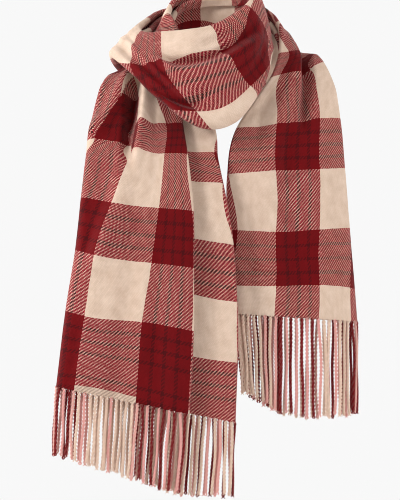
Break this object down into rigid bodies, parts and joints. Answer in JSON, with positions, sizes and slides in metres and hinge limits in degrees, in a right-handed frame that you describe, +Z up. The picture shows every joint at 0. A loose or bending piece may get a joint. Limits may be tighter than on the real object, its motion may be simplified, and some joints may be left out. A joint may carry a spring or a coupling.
{
  "type": "tartan blanket scarf",
  "caption": "Tartan blanket scarf with a twisted fringe, folded lengthwise, wound once round the neck, with both ends hanging in front.",
  "frame": {"origin": "middle of the base of the neck, where the wearer's neck and shoulders hold the scarf up", "axes": "+Z up, the wearer looks along -Y, +X is to the right as seen from the front, on the wearer's left side"},
  "size_m": [0.4444, 0.288, 0.747],
  "materials": {
    "cloth": "soft brushed wool twill in a red and cream tartan with fine dark green lines",
    "fringe": "two-ply twisted wool yarn in cream, pink and red"
  },
  "bodies": {
    "root": {"left_tail": "cloth", "first_turn": "cloth", "throat_loop": "cloth", "second_turn": "cloth", "right_tail": "cloth", "left_fringe": "fringe", "right_fringe": "fringe"}
  },
  "joints": []
}
